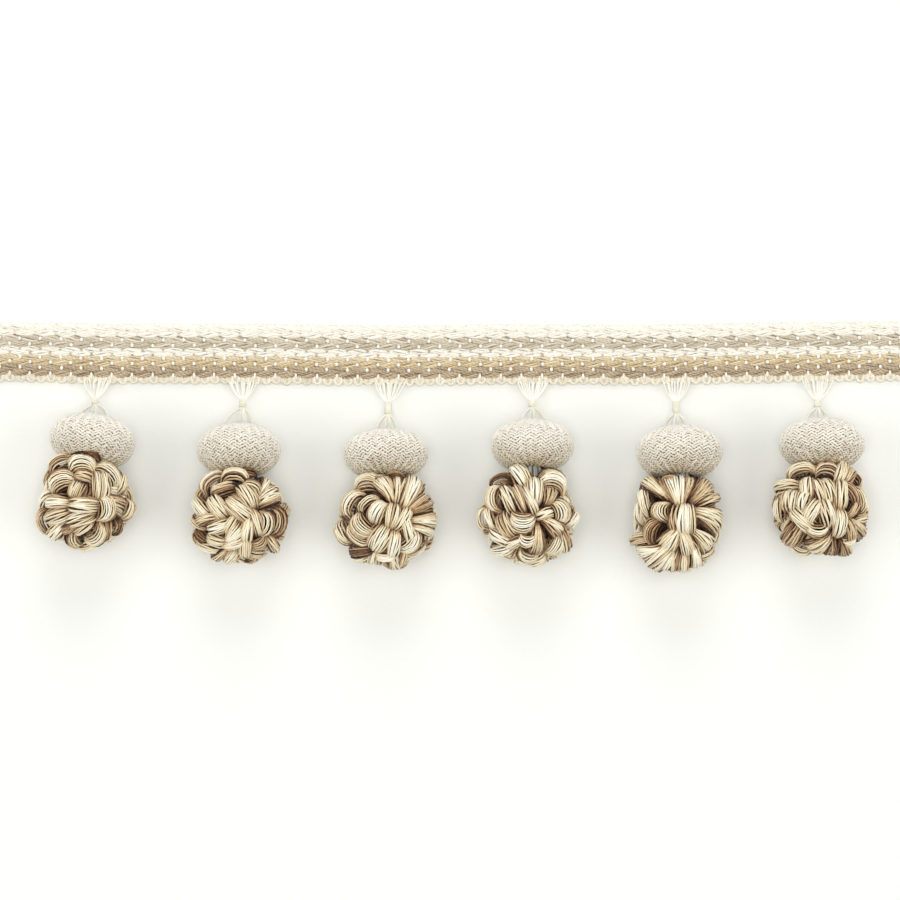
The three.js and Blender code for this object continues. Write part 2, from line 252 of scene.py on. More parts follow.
# %% Drop sizes
# Places and sizes in mm, the bead's roll in degrees, and how much darker than usual the pompon is
DROP_COLUMNS = ("fan_x fan_width knot_x knot_y knot_length bead_x bead_y bead_width bead_length bead_roll "
                "pompon_x pompon_y pompon_width pompon_height pompon_tone cage_left cage_right").split()
DROP_ROWS = [
    (-123.6, 10.5, -124.4, 15.9, 2.6, -124.8, 2.1, 29.4, 17.6, -8,
     -127.4, -19.2, 32.9, 34.3, 0.03, -5.1, 4.6),
    (-72.8, 9.8, -72.7, 15.1, 3.2, -73.7, -1.2, 28.7, 17.9, 0,
     -73.0, -24.5, 34.6, 33.6, 0.06, -6.3, 3.3),
    (-21.1, 9.9, -21.7, 13.5, 5.2, -22.4, -2.6, 29.0, 16.5, 1,
     -22.0, -26.4, 35.4, 33.2, 0.02, -3.8, 3.2),
    (29.2, 10.1, 28.8, 15.1, 3.0, 28.8, 0.4, 28.4, 17.6, 0,
     27.7, -24.9, 34.6, 34.4, -0.01, -3.6, 4.0),
    (79.4, 9.8, 79.2, 13.7, 5.2, 80.1, -1.9, 29.4, 17.9, 1,
     79.4, -27.3, 30.8, 35.2, 0.04, -4.2, 3.0),
    (129.1, 9.8, 128.8, 15.1, 3.3, 129.9, 0.9, 29.4, 17.2, -1,
     129.3, -22.4, 34.3, 32.2, 0.06, -3.9, 3.1),
]
DROPS = [dict(zip(DROP_COLUMNS, row)) for row in DROP_ROWS]
BEAD_TIP = np.radians(16)
BEAD_POWER = 2.15  # of its outline: 2 is an ellipse, and more is squarer
BEAD_SINK = 0.15  # mm pressed flat against the table
POMPON_Z, POMPON_HALF = 15.75, 16.2  # height of its centre and half its thickness in mm
FAN_Z = 1.1


def bead_frame(drop):
    """The bead's centre in mm and the matrix that turns its own axes (Y is the hole) into the frame."""
    roll = np.radians(drop["bead_roll"])
    c, s = np.cos(roll), np.sin(roll)
    about_z = np.array([[c, -s, 0], [s, c, 0], [0, 0, 1]])
    c, s = np.cos(-BEAD_TIP), np.sin(-BEAD_TIP)
    about_x = np.array([[1, 0, 0], [0, c, -s], [0, s, c]])
    centre = np.array([drop["bead_x"], drop["bead_y"], drop["bead_width"] / 2 - BEAD_SINK])
    return centre, about_z @ about_x


def pompon_ball(drop):
    """The centre and the half sizes of the ellipsoid that the pompon's petals sit on, in mm."""
    return (np.array([drop["pompon_x"], drop["pompon_y"], POMPON_Z]),
            np.array([drop["pompon_width"] / 2, drop["pompon_height"] / 2, POMPON_HALF]))


def heading_bow(x):
    """How far the heading strays from straight at x, in mm: a shallow arc and a slow wave."""
    return -0.45 + 1.4 * ((x + 10) / 168) ** 2 + 0.15 * np.sin(2 * np.pi * x / 95)


print("drops", len(DROPS))

# %% [markdown]
# The pompon yarn is matt two-ply cotton and viscose, dyed in long stretches of cream, beige and
# taupe-brown. The ply twist gives the eye slanting ribs along each strand, and loose fibres soften the
# light on it. The tone picks the dye and carries painted shade as well, noise along the strand varies it,
# and the twist is a bump from UV. Painted shade darkens each strand's flanks and underside, and painted
# light and shade make a ply's crest lighter than its groove.

# %% Yarn materials
FIBRE_SCALE = 2600.0  # noise cells per metre: fibres about 0.4 mm apart, coarser than real, to show
DYE_SCALE = 180.0  # dyed patches about 5.5 mm long
RIB_PAINTED_SHADE = 0.05  # painted light and shade: how much lighter a ply's crest is than its groove


def yarn(name, stops, twist=2.2, plies=2, rib=0.35, fibre=0.10, rough=0.8, sheen=0.25, wander=0.10,
         painted_flank_shade=0.0):
    """Spun yarn. Ribs are the sine of 2 pi (plies times turns round + mm along over twist), and fibre is
    how high they and the fibres stand, in mm. Noise adds up to wander to the tone, and the cosine of the
    turn adds the flank shade from a strand's top to its underside: painted shade, where its neighbours
    press on it and keep the light off."""
    made, tree, shader = material(name)
    uv = node(tree, "UVMap", [("uv_map", "strand")])
    split = node(tree, "SeparateXYZ", Vector=uv)
    along = node(tree, "Math", [("operation", "DIVIDE"), (1, twist)], _0=split.outputs["X"])
    round_it = node(tree, "Math", [("operation", "MULTIPLY_ADD"), (1, float(plies))],
                    _0=split.outputs["Y"], _2=along)
    angle = node(tree, "Math", [("operation", "MULTIPLY"), (1, 2 * np.pi)], _0=round_it)
    ribs = node(tree, "Math", [("operation", "SINE")], _0=angle)
    place = node(tree, "TexCoord").outputs["Object"]
    fibres = node(tree, "TexNoise", [("Scale", FIBRE_SCALE), ("Detail", 3.0)], Vector=place)
    dye = node(tree, "TexNoise", [("Scale", DYE_SCALE), ("Detail", 2.0)], Vector=place)
    height = node(tree, "Math", [("operation", "MULTIPLY_ADD"), (1, rib)],
                  _0=ribs, _2=fibres)
    bump = node(tree, "Bump", [("Strength", 0.6), ("Distance", fibre * MM)],
                Height=height)
    tone = node(tree, "Attribute", [("attribute_name", "tone")]).outputs["Fac"]
    varied = node(tree, "Math", [("operation", "MULTIPLY_ADD"), (1, wander)],
                  _0=dye, _2=tone)
    # Painted light and shade on the twist: a ply's crest lighter, its groove darker
    ribbed = node(tree, "Math", [("operation", "MULTIPLY_ADD"), (1, -RIB_PAINTED_SHADE)],
                  _0=ribs, _2=varied)
    # Painted shade: the cosine of the turn darkens each strand's flanks and underside, where its neighbours
    # keep the light off
    turn = node(tree, "Math", [("operation", "MULTIPLY"), (1, 2 * np.pi)], _0=split.outputs["Y"])
    top = node(tree, "Math", [("operation", "COSINE")], _0=turn)
    low = node(tree, "Math", [("operation", "MULTIPLY_ADD"), (1, -painted_flank_shade / 2), (2, (painted_flank_shade - wander) / 2)],
               _0=top)
    whole = node(tree, "Math", [("operation", "ADD")], _0=ribbed,
                 _1=low)
    dyed = node(tree, "ValToRGB", stops=stops, Fac=whole)
    tree.links.new(dyed.outputs["Color"], shader.inputs["Base Color"])
    tree.links.new(bump.outputs["Normal"], shader.inputs["Normal"])
    shader.inputs["Roughness"].default_value = rough
    shader.inputs["Specular IOR Level"].default_value = 0.25
    shader.inputs["Sheen Weight"].default_value = sheen
    shader.inputs["Sheen Roughness"].default_value = 0.4
    return made


# Space-dyed cotton and viscose yarn: cream, beige and taupe-brown stretches, matt with a soft bloom. The
# dark end of the ramp also gives the painted shade of the core, the flanks and the pinches
POMPON_YARN = yarn("space_dyed_two_ply_cotton",
                   [(0.0, "#FFFBEA"), (0.22, "#F3E4BD"), (0.5, "#C2A077"), (0.75, "#7F5A3B"),
                    (1.0, "#342010")], painted_flank_shade=0.5, wander=0.35)
# Linen-coloured cotton braid over the bead: flat, matt, a little pink where it is lightest
BEAD_BRAID = yarn("linen_herringbone_braid",
                  [(0.0, "#FDF9F0"), (0.3, "#F3EBD9"), (0.65, "#CCB996"), (1.0, "#735D3A")], twist=1.6,
                  painted_flank_shade=0.65)
# Silky viscose thread of the fans, knots and cages: almost white, with a faint gloss
SILKY = yarn("silky_viscose_thread",
             [(0.0, "#FCFBF5"), (0.5, "#F2EDD6"), (1.0, "#D2C69C")], twist=1.0, rough=0.45, sheen=0.4)
# Grey-silver viscose core threads that come out below the bead
SILVER = yarn("silver_grey_core_thread",
              [(0.0, "#A39E90"), (0.5, "#D4D0C3"), (1.0, "#F3F0E7")], twist=1.2, rough=0.5)
print("yarns", [made.name for made in (POMPON_YARN, BEAD_BRAID, SILKY, SILVER)])

# %% [markdown]
# A ruche pompon is a cord of bunched loops wound into a ball. Each bunch is tied at both ends, so it
# looks like a petal of strands that run together where they are pinched. Seen from its side, the same
# bunch shows nested arcs round a dark eye, and seen from one end it spreads like a fan. So three kinds of
# petal are enough: lemon, arch and fan. The petals that face the camera are read from the photograph, in
# picture steps from the pompon's centre. Two dark ones across the top hide the neck, except in drop 4,
# where it shows; their dark tone is painted shade, for the shade between the bead and the pompon.

# %% Petal table
# Each is a light lemon, unless its row names another kind, or a kind and a tone
PETAL_COLUMNS = "right down angle half_length half_width kind tone".split()
# Dark petals below the bead: painted shade between the bead and the pompon
NECK_SHADE_COVER = [(-8, -41, 8, 9, 5, "lemon", "D"), (8, -41, -8, 9, 5, "lemon", "D")]
PETALS = [
    [  # pompon 1
        *NECK_SHADE_COVER, (-1, -36, 90, 14, 13, "arch"), (-25, -37, 110, 12, 8, "arch"),
        (-23, -20, 110, 16, 12, "arch"), (-3, -12, 65, 9, 12, "lemon", "M"),
        (1, -24, -8, 9, 6, "lemon", "B"), (18, -16, 95, 14, 10), (27, -27, 50, 15, 10, "arch"),
        (40, -18, 80, 9, 5, "lemon", "B"), (-27, 0, 0, 12, 7), (1, 3, -5, 14, 9),
        (25, 6, 0, 15, 12, "arch"), (32, 1, -25, 13, 9, "fan", "B"), (43, 8, 70, 10, 5, "lemon", "B"),
        (-27, 15, 20, 13, 9), (-40, 21, 190, 11, 7, "arch", "B"), (-27, 29, 45, 9, 7),
        (-3, 18, 18, 14, 8), (-15, 26, 30, 9, 5, "lemon", "D"), (0, 27, 35, 10, 5, "lemon", "B"),
        (13, 33, -40, 13, 10, "arch"), (25, 31, 75, 10, 6, "lemon", "M"),
        (33, 25, -10, 8, 6, "arch", "D"), (-9, 38, 200, 10, 8, "arch", "B"), (4, 44, 15, 10, 5),
    ],
    [  # pompon 2
        *NECK_SHADE_COVER, (-5, -37, 85, 13, 9, "arch"), (-28, -33, 125, 13, 9, "arch"),
        (-18, -28, 20, 12, 6, "lemon", "B"), (9, -21, -58, 13, 9), (13, -30, 70, 11, 7, "arch", "B"),
        (25, -30, 65, 10, 6, "fan", "M"), (30, -19, 30, 12, 9, "fan"), (0, -9, -38, 16, 10),
        (-23, -11, -50, 13, 10), (-39, -9, -50, 12, 8), (-41, -22, 150, 7, 6, "arch", "B"),
        (-34, 2, 15, 12, 6, "lemon", "B"), (-42, 5, -40, 9, 6, "lemon", "B"), (-22, 9, 15, 12, 8),
        (-9, 7, 60, 10, 5), (-6, 17, 50, 12, 8, "fan"), (-6, 27, 12, 12, 6, "fan"), (8, 13, 80, 12, 7),
        (18, 5, -72, 13, 6, "lemon", "B"), (27, 7, -10, 14, 9, "arch"), (40, 5, -5, 14, 10, "arch", "M"),
        (20, 25, -60, 9, 8, "arch", "B"), (32, 26, -60, 9, 5, "lemon", "B"), (6, 31, 85, 10, 7),
        (-23, 23, -18, 11, 7), (-38, 18, -50, 9, 6, "lemon", "D"), (-44, 22, 180, 8, 5, "arch", "B"),
        (-32, 30, -15, 13, 7), (-21, 37, 35, 10, 6, "lemon", "M"), (-9, 40, 45, 10, 8, "fan"),
    ],
    [  # pompon 3
        *NECK_SHADE_COVER, (-20, -38, 80, 13, 11, "arch"), (-1, -33, 120, 13, 9, "fan"),
        (12, -34, 85, 12, 6, "fan", "B"), (26, -31, 68, 16, 11, "fan"), (36, -17, 30, 14, 9, "fan", "M"),
        (38, -3, 0, 13, 8, "fan", "B"), (36, 6, -15, 11, 5, "lemon", "B"), (-36, -18, 150, 14, 9, "arch"),
        (-20, -19, 130, 13, 7, "arch", "B"), (-9, -12, 60, 11, 9), (6, -8, 78, 12, 8),
        (17, -5, 62, 12, 6), (22, 7, -75, 13, 6), (24, 19, -35, 15, 12, "arch"),
        (-26, 4, 225, 16, 12, "arch"), (-30, 14, 235, 16, 8, "arch", "B"),
        (-44, 11, -60, 12, 6, "lemon", "B"), (-7, 17, 58, 14, 12), (8, 23, 80, 12, 7),
        (-25, 28, 5, 12, 6, "lemon", "D"), (-25, 35, 20, 10, 5), (-14, 35, -100, 10, 7, "fan"),
        (-1, 34, 0, 10, 5), (9, 41, -70, 9, 7, "fan"), (17, 35, 75, 9, 5, "lemon", "B"),
    ],
    [  # pompon 4
        (-10, -39, 130, 11, 9), (-29, -34, 95, 11, 7, "arch", "D"), (-35, -18, 185, 14, 9, "arch"),
        (-23, -20, -62, 13, 7), (-9, -20, -62, 14, 7, "lemon", "B"), (0, -19, -62, 14, 4),
        (5, -27, 90, 13, 8), (24, -34, 85, 14, 13, "arch"), (21, -22, 75, 9, 6, "fan", "M"),
        (16, -5, 20, 8, 6, "lemon", "B"), (32, -8, 15, 13, 11, "arch"), (43, 1, 60, 9, 6),
        (24, 8, -40, 12, 8, "fan", "B"), (26, 27, 60, 12, 9), (34, 21, -75, 12, 6, "lemon", "B"),
        (-8, 4, 265, 15, 12, "arch"), (-24, 8, -60, 14, 9, "lemon", "B"), (-39, 0, -70, 11, 4),
        (-45, 0, 185, 10, 6, "arch"), (-30, 20, -25, 14, 8), (-28, 31, 10, 11, 6),
        (-16, 25, 25, 10, 6, "lemon", "M"), (7, 22, -95, 15, 9, "fan", "B"), (-3, 22, -95, 9, 8, "arch"),
        (-2, 38, 250, 10, 7, "arch"), (8, 43, 20, 9, 6),
    ],
    [  # pompon 5
        *NECK_SHADE_COVER, (-2, -34, 95, 14, 17, "fan"), (-24, -35, 140, 14, 8, "fan", "B"),
        (24, -33, 48, 13, 10, "fan", "B"), (32, -24, 15, 10, 5, "lemon", "B"),
        (-19, -15, 180, 11, 11, "arch"), (-34, -22, 100, 13, 7), (-40, -14, 85, 12, 5),
        (-28, 6, 160, 14, 9, "arch", "B"), (-38, 14, 20, 10, 6, "lemon", "B"), (5, -7, 90, 15, 14),
        (-9, 14, -125, 13, 10, "fan"), (8, 18, -70, 14, 8, "fan"), (31, -7, -30, 15, 12, "fan"),
        (25, 15, -45, 13, 9, "fan"), (-20, 31, -140, 16, 12, "fan"), (-9, 37, -110, 12, 9, "fan"),
        (6, 38, -90, 9, 7, "lemon", "B"), (17, 32, -75, 11, 6, "fan"), (-30, 24, 190, 12, 7, "fan"),
    ],
    [  # pompon 6
        *NECK_SHADE_COVER, (-20, -35, 95, 13, 9, "arch"), (-37, -25, 12, 12, 6), (-33, -11, 80, 11, 11),
        (-21, -11, 75, 10, 6), (-16, -23, 90, 10, 8), (-4, -21, -70, 11, 6), (5, -20, -75, 13, 7),
        (5, -37, 85, 11, 9, "arch"), (18, -36, 75, 10, 8), (27, -33, 50, 9, 6, "lemon", "B"),
        (34, -31, 60, 8, 6, "arch", "B"), (19, -17, 90, 14, 8), (29, -16, 30, 14, 7, "arch", "M"),
        (38, -12, 10, 13, 6, "arch"), (31, -2, 60, 9, 7, "lemon", "D"), (40, 7, 10, 10, 6, "fan", "B"),
        (35, 17, -45, 15, 8, "fan", "M"), (17, 13, 80, 14, 8), (27, 19, -75, 12, 7, "lemon", "B"),
        (-12, 0, 60, 12, 8), (4, 1, -78, 15, 9), (-22, 8, -42, 14, 9), (-6, 19, 268, 13, 9, "arch"),
        (-30, 22, 60, 12, 10, "lemon", "B"), (-22, 38, 250, 10, 7, "arch"), (-3, 33, 215, 13, 9, "fan"),
        (12, 36, -95, 11, 8, "fan", "D"), (23, 36, -65, 10, 6, "fan", "M"), (26, 29, 20, 8, 5),
    ],
]
print("petals read", [len(rows) for rows in PETALS])

# %% [markdown]
# One petal is two shells of strands on half an ellipsoid. The outer shell shows, and the inner one fills
# the gaps between its strands with darker yarn, as the many layers of a real bunch do; its tone is also
# painted shade for the depth of those gaps.

# %% Petal shapes
STRAND = 0.36  # half the yarn's thickness in mm
THINNEST, THICKEST = 0.82, 1.14  # shares of it that a strand may have
SHELLS = ((1.0, 0.80), (0.8, 1.6))  # each shell's share of the petal's size and mm between its strands
DEEP_SHELLS = ((1.0, 1.3),)
STATIONS = 11  # points along a strand
USUAL_WIDTH = 2.8  # mm from a petal's axis to its edge
PETAL_RISE = 4.4  # mm that such a petal stands out of the ball
PETAL_DIVE = 2.6  # mm that its pinched ends go in
EDGE_DIVE = 1.7  # mm that a lemon's outermost strands go in
EDGE_ANGLE = 80  # degrees from the petal's middle to its outermost strands
ARCH_FOOT = 0.6  # an arch's pinches, as a share of its half length


def petal_lines(kind, a, b, c, layers):
    """Strand lines of one petal in its own axes (x, y and z out, in mm) with their outward directions,
    for t from 0 to 180 degrees along a strand and p from -80 to 80 degrees across the petal.
    lemon: (-a cos t, b sin p w, c cos p sin t), with w a quarter at the ends and 1 in the middle.
    fan: (a (2u - 1), b sin p w, c cos p sin(pi (0.12 + 0.8 u))) for u = (1 - cos t) / 2, with w growing
    from 0.22 to 1, so that its far end stays open.
    arch: loops for r from 0 to 1, (b (1.95 r sin t - 0.95), -a cos t (0.6 + 0.48 r sin t),
    c sin(pi (0.1 + 0.74 r)) sin t): their feet are pinched, and they bulge towards +x.
    Powers of the sines make the ends blunt, and the ends dive into the ball."""
    t = np.linspace(0.02, 0.98, STATIONS) * np.pi
    dive = PETAL_DIVE * np.abs(np.cos(t)) ** 5
    shells = []
    for scale, pitch in layers:
        count = max(4, int(round(np.pi * np.sqrt((b * b + c * c) / 2) * scale * 0.9 / pitch)))
        p = np.radians(np.linspace(-EDGE_ANGLE, EDGE_ANGLE, count))[:, None]
        if kind == "arch":
            count = max(5, int(round(b * 2.1 / pitch)))
            r = np.linspace(0.06, 1.0, count)[:, None]
            x = b * (1.95 * r * np.sin(t) ** 0.8 - 0.95) * (0.75 + 0.25 * scale)
            y = -a * np.cos(t) * (ARCH_FOOT + (1.08 - ARCH_FOOT) * r * np.sin(t) ** 0.5)
            z = c * scale * np.sin(np.pi * (0.10 + 0.74 * r)) * np.sin(t) ** 0.6 - dive
        elif kind == "fan":
            u = (1 - np.cos(t)) / 2
            x = a * (2 * u - 1) * (1 - 0.12 * np.sin(p) ** 2)
            y = b * np.sin(p) * (0.22 + 0.78 * np.sin(np.pi / 2 * np.clip(u / 0.8, 0, 1)))
            z = c * scale * np.cos(p) ** 0.7 * np.sin(np.pi * (0.12 + 0.80 * u)) ** 0.7 - dive
            y = y * (0.5 + 0.5 * scale)
        else:
            x = -a * np.cos(t) * (0.8 + 0.2 * scale) + 0 * p
            y = b * scale * np.sin(p) * (0.26 + 0.74 * np.sin(t) ** 0.7)
            z = c * scale * np.cos(p) ** 0.8 * np.sin(t) ** 0.6 - dive - EDGE_DIVE * np.sin(p) ** 6
        line = np.stack([x, y, z], -1)
        if kind == "arch":
            out = np.stack([0.5 * np.sin(t) + 0 * r, 0 * x, 1 + 0 * x], -1)
        else:
            out = np.stack([0 * x, b * np.sin(p) + 0 * x, c * np.cos(p) + 0.3 + 0 * x], -1)
        shells.append((line, out, scale))
    return shells


usual = petal_lines("lemon", 1.6 * USUAL_WIDTH, USUAL_WIDTH, PETAL_RISE, SHELLS)
print("strands in a usual lemon, outer and inner shell", [len(line) for line, _, _ in usual])

# %% [markdown]
# A petal sits a little way into the ball, its ends are pinched down between its neighbours, and its outer
# strands lie in their shade; that shade, and the shade where the ends are pinched, is painted into the
# strands' tone. No strand of real yarn lies quite where the next one does or has quite its colour, so each
# strays and each has its own tone. Where a petal meets the bead that the pompon hangs from, it drapes
# over the bead's edge, and all of it stays above the table.

# %% Petals in place
GROWTH = 1.10  # the petals squeeze each other, so each is a little larger than what shows of it
PETAL_SINK, PETAL_PULL = 0.4, 0.20  # shares of its rise that it sits deeper and nearer the middle
PETAL_DROP = (-0.5, 0.7)  # mm that it lies lower by chance
UPPER, LIT, RIM = 0.3, 0.45, 0.7  # heights in the unit ball, above or below which petals differ
FACING = 0.35  # how far those above UPPER turn up from the ball towards the light
RIM_STRAY = (-0.5, 1.3)  # mm that those below RIM stand in or out, so that the outline is uneven
WAVE, SKEW = 0.16, 0.07  # mm that a strand wavers and its slope off the petal's axis
STRAY, FUZZ = 0.09, 0.035  # mm that a whole strand and each of its points are out of place
DRAPE_STEPS = 14
TONES = {"L": (-0.08, 0.08), "B": (0.10, 0.14), "M": (0.14, 0.22), "D": (0.36, 0.22)}  # middle and swing
LEFT_DARK = 0.09  # mean of the few strands that are dyed darker
# Tone of the inner shells: the darker yarn of a bunch's lower layers, and painted shade in the gaps between
# the outer strands
INNER_DYE_AND_SHADE = 0.68
EDGE_PAINTED_SHADE, RIM_EDGE_PAINTED_SHADE = 0.95, 0.35  # painted shade: how much darker a petal's outermost strand is, above LIT and below
PINCH_PAINTED_SHADE = 0.75  # painted shade: how much darker a strand is where it is pinched and dives into the ball


def bead_fill(points, drop, room):
    """How full of bead each point is: its distance from the bead's centre as a share of the surface's,
    with the surface room mm further out. Also the points in the bead's own axes."""
    centre, turn = bead_frame(drop)
    own = (points - centre) @ turn
    around = np.hypot(own[..., 0], own[..., 2]) / (drop["bead_width"] / 2 + room)
    along = np.abs(own[..., 1]) / (drop["bead_length"] / 2 + room)
    return (around ** BEAD_POWER + along ** BEAD_POWER) ** (1 / BEAD_POWER), own


def clear_of_bead(points, drop, room):
    """Moves points in mm that are inside the bead straight out from its centre to its surface plus
    room, and lifts those less than room above the table to there."""
    centre, turn = bead_frame(drop)
    fill, own = bead_fill(points, drop, room)
    moved = own / np.clip(fill, 0.05, 1.0)[..., None] @ turn.T + centre
    moved[..., 2] = np.maximum(moved[..., 2], room)
    return moved


def over_bead(points, drop, room):
    """Lifts points in mm that are inside the bead until they lie on it, so that a petal drapes over the
    bead's edge: each step raises them by their shortfall."""
    lifted = points.copy()
    for _ in range(DRAPE_STEPS):
        fill, _ = bead_fill(lifted, drop, room)
        lifted[..., 2] += np.clip(1 - fill, 0, 1) * drop["bead_width"] / 2
    return lifted


def petal(drop, direction, angle, a, b, kind, tone, rng, layers=SHELLS, girth=1.0):
    """One petal on the pompon's ellipsoid, at a direction in its unit ball, turned to a picture angle.
    Its points are base + x along + y across + z out, where along is the picture angle's direction laid
    on the ball and out is the ball's normal, turned up a little."""
    centre, half = pompon_ball(drop)
    out = unit(unit(direction / half) + [0, 0, FACING if direction[2] > UPPER else 0])
    c = PETAL_RISE * np.clip(b / USUAL_WIDTH, 0.75, 1.3)
    along = np.array([np.cos(angle), np.sin(angle), 0.0])
    along[2] = -(out[0] * along[0] + out[1] * along[1]) / max(abs(out[2]), 0.35) * np.sign(out[2] + 1e-9)
    along = unit(along - out * (along @ out))
    across = np.cross(out, along)
    stretch = GROWTH / max(np.hypot(along[0], along[1]), 0.7)
    towards_bead = direction[1] > 0.3  # these are pushed out, over the bead's edge
    pull = PETAL_PULL * c * np.array([1, -1 if towards_bead else 1, 1])
    base = centre + direction * (half - pull) - out * (PETAL_SINK * c) \
        - [0, 0, PETAL_SINK * c + rng.uniform(*PETAL_DROP)]
    if direction[2] < RIM:
        base = base + direction * rng.uniform(*RIM_STRAY)
    bow = rng.uniform(-0.3, 0.3) * b if kind == "lemon" else 0.0
    middle, swing = TONES[tone]
    phase, run = rng.uniform(0, 2 * np.pi), rng.uniform(0.5, 1.3) * 2 * np.pi
    bundles = []
    # Painted shade on a petal's outermost strands, stronger for petals high on the ball
    edge = EDGE_PAINTED_SHADE if direction[2] > LIT else RIM_EDGE_PAINTED_SHADE
    for line, face, scale in petal_lines(kind, a * stretch, b * GROWTH, c, layers):
        count = len(line)
        line = line + rng.normal(0, STRAY, (count, 1, 3)) + rng.normal(0, FUZZ, line.shape)
        wave = np.sin(np.linspace(0, 1, STATIONS) * rng.uniform(3, 9, (count, 1))
                      + rng.uniform(0, 2 * np.pi, (count, 1)))
        line[..., 1] += WAVE * wave + rng.normal(0, SKEW, (count, 1)) * line[..., 0]
        line[..., 1] += bow * (np.sin(np.linspace(0, np.pi, STATIONS)) - 0.5)
        axes = np.stack([along, across, out])
        points = base + line @ axes
        if direction[2] > UPPER:
            points = over_bead(points, drop, STRAND * (2 * scale - 1))
        points = clear_of_bead(points, drop, STRAND * girth * THICKEST)
        drift = np.sin(phase + run * np.linspace(0, 1, count))
        level = middle + swing * drift + rng.exponential(LEFT_DARK, count)
        # The pompon's own dye, and painted shade that darkens the strands towards the petal's edges
        level += drop["pompon_tone"] + edge * np.abs(np.linspace(-1, 1, count)) ** 2.8
        # Inner shells: darker yarn and painted shade in the gaps
        if scale < 1:
            level = INNER_DYE_AND_SHADE + rng.normal(0, 0.08, count)
        # Painted shade where a strand is pinched and dives into the ball
        ends = PINCH_PAINTED_SHADE * np.abs(np.linspace(-1, 1, STATIONS)) ** 3
        shade = np.clip(level[:, None] + ends, -0.15, 1)
        size = STRAND * girth * rng.uniform(THINNEST, THICKEST, (count, 1)) * np.ones(STATIONS)
        bundles.append(strands(points, size, size, shade, face @ axes, sides=4))
    return bundles


# %% [markdown]
# A pompon is the same all round, but the photograph shows only its upper side. So the petals of the table
# come first, and smaller ones follow where a golden spiral over the rest of the ball meets none of them. A
# deeper and coarser set closes the gaps that are left, so that the plain core shows nowhere. Each pompon
# draws its own random numbers, so no two are alike.

# %% Pompon pieces
CORE_SHARE = 0.70  # of the ball
HIDDEN_COUNT, HIDDEN_SHARE = 46, 0.82  # petals round the sides and below, at this share of its width
HIDDEN_LENGTH, HIDDEN_WIDTH = (3.8, 4.6), (2.6, 3.2)  # half of each, in mm
DEEP_COUNT, DEEP_SHARE = 34, 0.75  # coarser petals that close the gaps, at this share of the ball
DEEP_SIZE, DEEP_GIRTH = (4.6, 3.4), 1.5  # half length and width in mm, thickness over a strand's
HIDDEN_TOP, DEEP_TOP = 0.36, 0.6  # none of these is higher up in the unit ball
NEAR_ANOTHER = 0.93  # cosine of the least angle to a petal of the table
AT_BEAD = 0.75  # none of these is nearer to the bead
RIM_REACH = 0.97  # as far from the middle as a petal of the table may be


def golden(count):
    """Directions spread evenly over a ball: each is turned by the golden angle from the last."""
    i = np.arange(count)
    z = 1 - (2 * i + 1) / count
    turn = i * np.pi * (3 - np.sqrt(5))
    flat = np.sqrt(1 - z * z)
    return np.stack([flat * np.cos(turn), flat * np.sin(turn), z], -1)


def ball(centre, half, tone, rings=14, around=20):
    """A closed ellipsoid: a fat strand along z with its centre at cos t and its radius sin t."""
    t = np.linspace(0.02, np.pi - 0.02, rings)
    line = np.stack([0 * t, 0 * t, np.cos(t) * half[2]], -1)[None] + centre
    return strands(line, np.sin(t) * half[1], np.sin(t) * half[0], tone, (1.0, 0, 0), around)


def pompon(number, drop, rows):
    """A core, the petals of the table, the hidden ones and the deep ones. A petal of the table is at
    (x, y, sqrt(1 - x^2 - y^2)) in the unit ball, x and y being right and up over half its size."""
    rng = np.random.default_rng(100 + number)
    centre, half = pompon_ball(drop)
    # The core has the darkest tone: painted shade deep inside the ball, as well as the dark yarn of its
    # inner layers
    bundles, seen = [ball(centre, half * CORE_SHARE, 1.0)], []
    for row in rows:
        p = {"kind": "lemon", "tone": "L", **dict(zip(PETAL_COLUMNS, row))}
        flat = np.array([p["right"], -p["down"]]) * STEP / MM / half[:2]
        reach = np.hypot(*flat)
        flat = flat / max(reach / RIM_REACH, 1)
        direction = np.array([*flat, np.sqrt(1 - flat @ flat)])
        seen.append(direction)
        bundles += petal(drop, direction, np.radians(p["angle"]), p["half_length"] * STEP / MM,
                         p["half_width"] * STEP / MM, p["kind"], p["tone"], rng)
    for direction in golden(HIDDEN_COUNT):
        if direction[2] > HIDDEN_TOP or direction[1] > AT_BEAD:
            continue
        if (np.array(seen) @ direction).max() > NEAR_ANOTHER:
            continue
        tone = rng.choice(["L", "L", "B", "M"])
        bundles += petal(drop, direction * (HIDDEN_SHARE, HIDDEN_SHARE, 1), rng.uniform(0, np.pi),
                         rng.uniform(*HIDDEN_LENGTH), rng.uniform(*HIDDEN_WIDTH),
                         rng.choice(["lemon", "arch", "lemon"]), tone, rng)
    for direction in golden(DEEP_COUNT):
        if direction[2] < DEEP_TOP and direction[1] < AT_BEAD:
            bundles += petal(drop, direction * DEEP_SHARE, rng.uniform(0, np.pi), *DEEP_SIZE, "lemon",
                             rng.choice(["L", "B", "M"]), rng, DEEP_SHELLS, DEEP_GIRTH)
    return bundles


for number, (drop, rows) in enumerate(zip(DROPS, PETALS), 1):
    drop_piece(pompon, POMPON_YARN, "pompon_yarn", number, drop, rows)

# %% [markdown]
# The bead's cover is a tube of braid drawn over it. Two sets of 48 yarns wind round it, one leaning each
# way, and each passes over two and under two, which gives columns of slanting floats: a herringbone. A
# yarn is over where cos(24 x the angle round the bead) is positive for one set and negative for the other.

